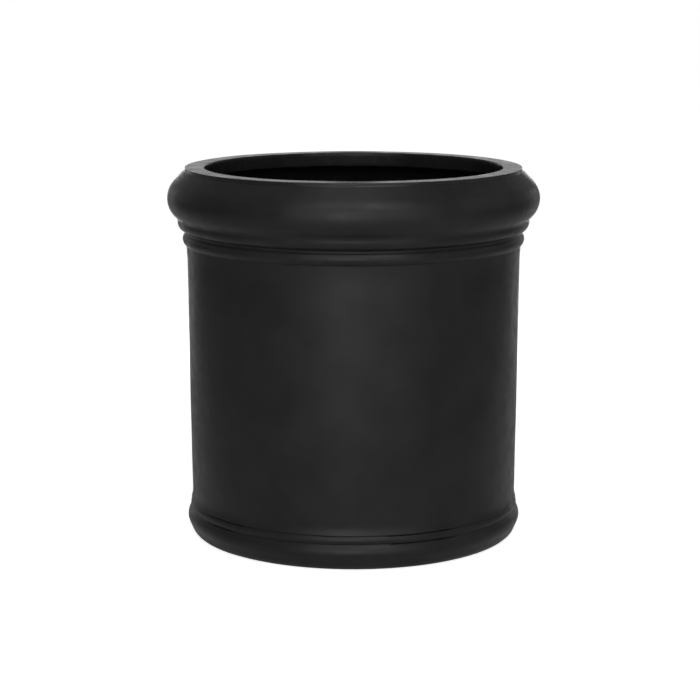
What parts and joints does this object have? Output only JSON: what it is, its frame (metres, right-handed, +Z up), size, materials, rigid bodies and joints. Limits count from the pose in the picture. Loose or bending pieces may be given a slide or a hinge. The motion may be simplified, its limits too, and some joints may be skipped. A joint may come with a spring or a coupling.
{
  "type": "floor planter",
  "caption": "Round moulded floor planter about as wide as tall, with a roll bead under a flat turned-in rim, ringed mouldings, a torus foot, a laminated floor and a pull-out drain plug.",
  "frame": {"origin": "on the ground under the middle of the planter, at the underside of its rubber feet", "axes": "+Z up along the planter's axis; +X to the right and +Y away from the viewer; the pull tab of the drain plug lies along X"},
  "size_m": [0.5, 0.5, 0.5],
  "materials": {
    "coated_laminate": "satin matte coating on moulded fibreglass, raw laminate inside",
    "coated_rim": "satin matte coating on moulded fibreglass",
    "bonding_paste": "cured filled resin paste, rough",
    "raw_laminate": "rough hand-laid laminate, pigmented black",
    "glassed_putty": "rough putty cove under glass tape",
    "plug_rubber": "matte moulded rubber",
    "foot_rubber": "matte moulded rubber"
  },
  "bodies": {
    "planter": {"wall_shell": "coated_laminate", "rim_collar": "coated_rim", "rim_bond": "bonding_paste", "floor_pan": "raw_laminate", "floor_bond": "glassed_putty", "foot_pad_1": "foot_rubber", "foot_pad_2": "foot_rubber", "foot_pad_3": "foot_rubber", "foot_pad_4": "foot_rubber"},
    "drain_plug": {"drain_plug": "plug_rubber"}
  },
  "joints": [
    {"name": "plug_pull", "type": "slide", "parent": "planter", "child": "drain_plug", "axis": [0, 0, 1], "range_m": [0, 0.52]}
  ]
}
